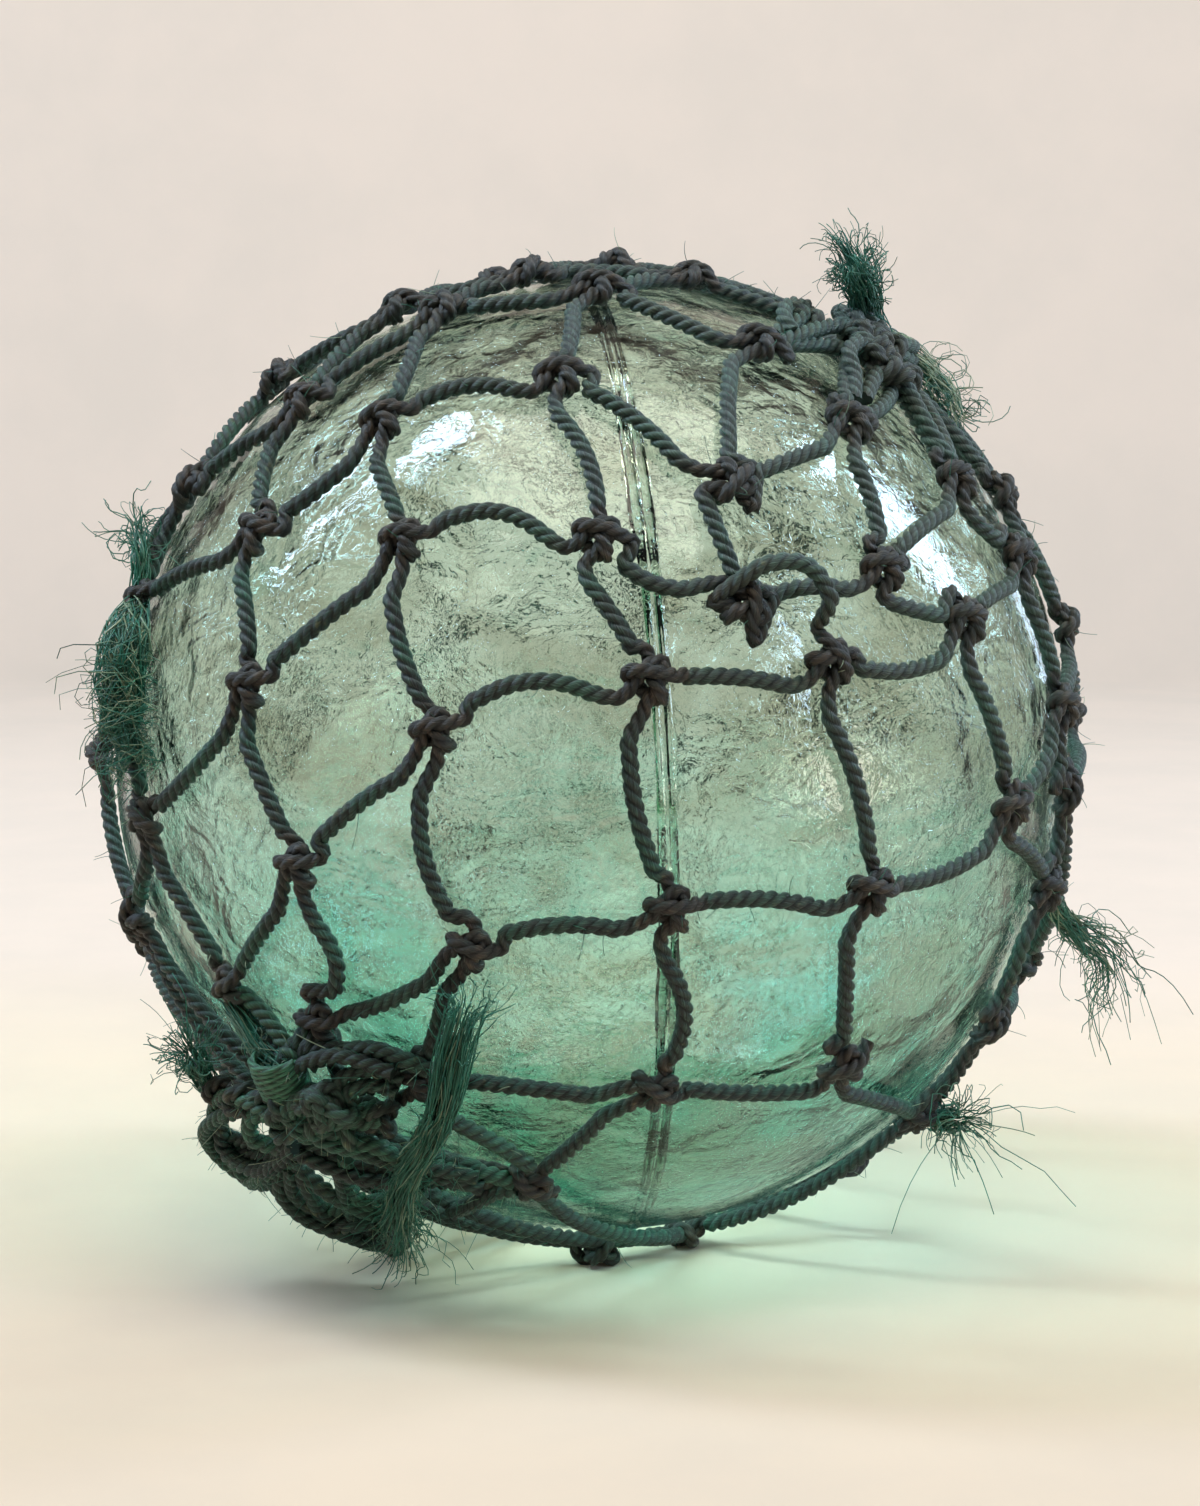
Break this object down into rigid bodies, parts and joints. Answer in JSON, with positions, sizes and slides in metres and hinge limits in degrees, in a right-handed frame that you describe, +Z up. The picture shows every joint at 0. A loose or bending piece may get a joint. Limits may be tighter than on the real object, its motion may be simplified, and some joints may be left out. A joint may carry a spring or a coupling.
{
  "type": "glass float ball",
  "caption": "Hollow glass fishing float, held in a hand-knotted twine net gathered low at the front left and high at the right, with frayed ends.",
  "frame": {"origin": "under the middle of the object's box, on the surface that the float lies on", "axes": "+Z up; -Y the front, with the lower gather at its left; +X to the right, towards the upper gather and the frayed end that stands out furthest"},
  "size_m": [0.3262, 0.3114, 0.3138],
  "materials": {
    "glass": "old thick bottle-green to aqua glass, wavy, bubbled and finely scratched",
    "twine": "three-strand laid twine, tarred dark green to black, weathered and frayed",
    "whipping": "unlaid green yarn, wound tight"
  },
  "bodies": {
    "root": {"glass_float": "glass", "net_round_1": "twine", "net_round_2": "twine", "net_round_3": "twine", "net_round_4": "twine", "net_round_5": "twine", "net_round_6": "twine", "net_round_7": "twine", "net_bottom_feet": "twine", "net_top_feet": "twine", "bottom_lashing": "twine", "whipping_band": "whipping", "top_lashing": "twine"}
  },
  "joints": []
}
